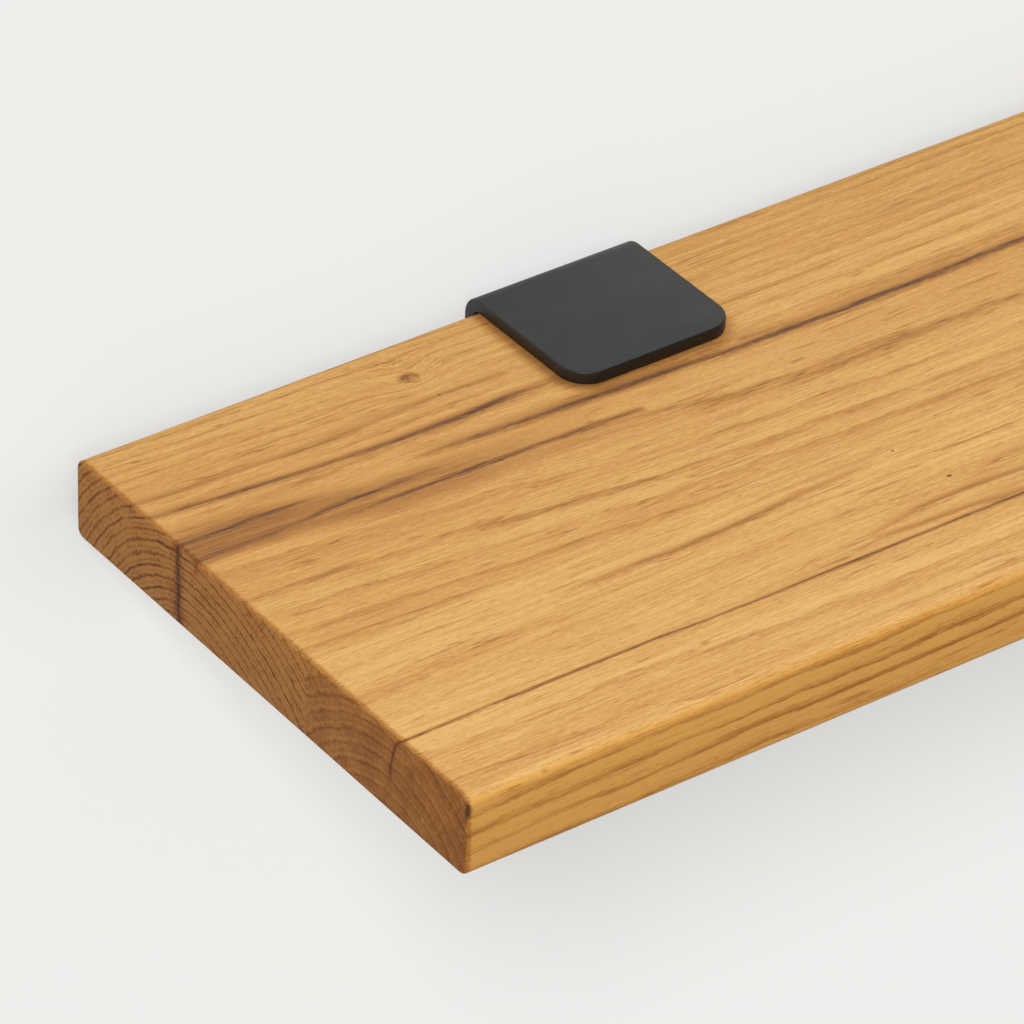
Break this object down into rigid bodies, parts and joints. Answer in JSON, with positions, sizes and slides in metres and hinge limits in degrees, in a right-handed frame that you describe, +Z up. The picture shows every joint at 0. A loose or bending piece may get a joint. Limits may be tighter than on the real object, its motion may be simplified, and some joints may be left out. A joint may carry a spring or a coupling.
{
  "type": "bracket wall shelf",
  "caption": "Oak wall shelf whose edge-glued board is clamped at its rear edge by folded black steel brackets, each with a clamp screw, pressure plate and wall screws.",
  "frame": {"origin": "on the wall, halfway along the board, at the height of the wall screws", "axes": "+X along the board, to the right as seen from the room; +Y into the wall; +Z up"},
  "size_m": [0.8, 0.2306, 0.0762],
  "materials": {
    "oak": "oiled oak, satin",
    "black_coat": "fine matt powder coat",
    "black_steel": "black oxide",
    "zinc_steel": "bright zinc plate",
    "rubber": "matt",
    "grey_plastic": "moulded nylon"
  },
  "bodies": {
    "shelf": {"rear_stave": "oak", "front_stave": "oak", "left_bracket": "black_coat", "left_weld_nut": "zinc_steel", "left_wall_screw_a": "zinc_steel", "left_wall_screw_b": "zinc_steel", "left_wall_plug_a": "grey_plastic", "left_wall_plug_b": "grey_plastic", "right_bracket": "black_coat", "right_weld_nut": "zinc_steel", "right_wall_screw_a": "zinc_steel", "right_wall_screw_b": "zinc_steel", "right_wall_plug_a": "grey_plastic", "right_wall_plug_b": "grey_plastic"},
    "left_clamp_plate": {"left_pressure_plate": "zinc_steel", "left_plate_facing": "rubber"},
    "left_clamp_spindle": {"left_clamp_screw": "black_steel", "left_retaining_clip": "zinc_steel"},
    "right_clamp_plate": {"right_pressure_plate": "zinc_steel", "right_plate_facing": "rubber"},
    "right_clamp_spindle": {"right_clamp_screw": "black_steel", "right_retaining_clip": "zinc_steel"}
  },
  "joints": [
    {"name": "left_clamp_travel", "type": "slide", "parent": "shelf", "child": "left_clamp_plate", "axis": [0, 0, 1], "range_m": [-0.014, 0]},
    {"name": "left_clamp_turn", "type": "hinge", "parent": "left_clamp_plate", "child": "left_clamp_spindle", "pos_m": [-0.242, -0.029, 0], "axis": [0, 0, 1], "range_deg": [-4033, 0]},
    {"name": "right_clamp_travel", "type": "slide", "parent": "shelf", "child": "right_clamp_plate", "axis": [0, 0, 1], "range_m": [-0.014, 0]},
    {"name": "right_clamp_turn", "type": "hinge", "parent": "right_clamp_plate", "child": "right_clamp_spindle", "pos_m": [0.242, -0.029, 0], "axis": [0, 0, 1], "range_deg": [-4033, 0]}
  ],
  "couplings": [
    {"joint": "left_clamp_turn", "follows": "left_clamp_travel", "rad_per_m": 5026.5},
    {"joint": "right_clamp_turn", "follows": "right_clamp_travel", "rad_per_m": 5026.5}
  ]
}
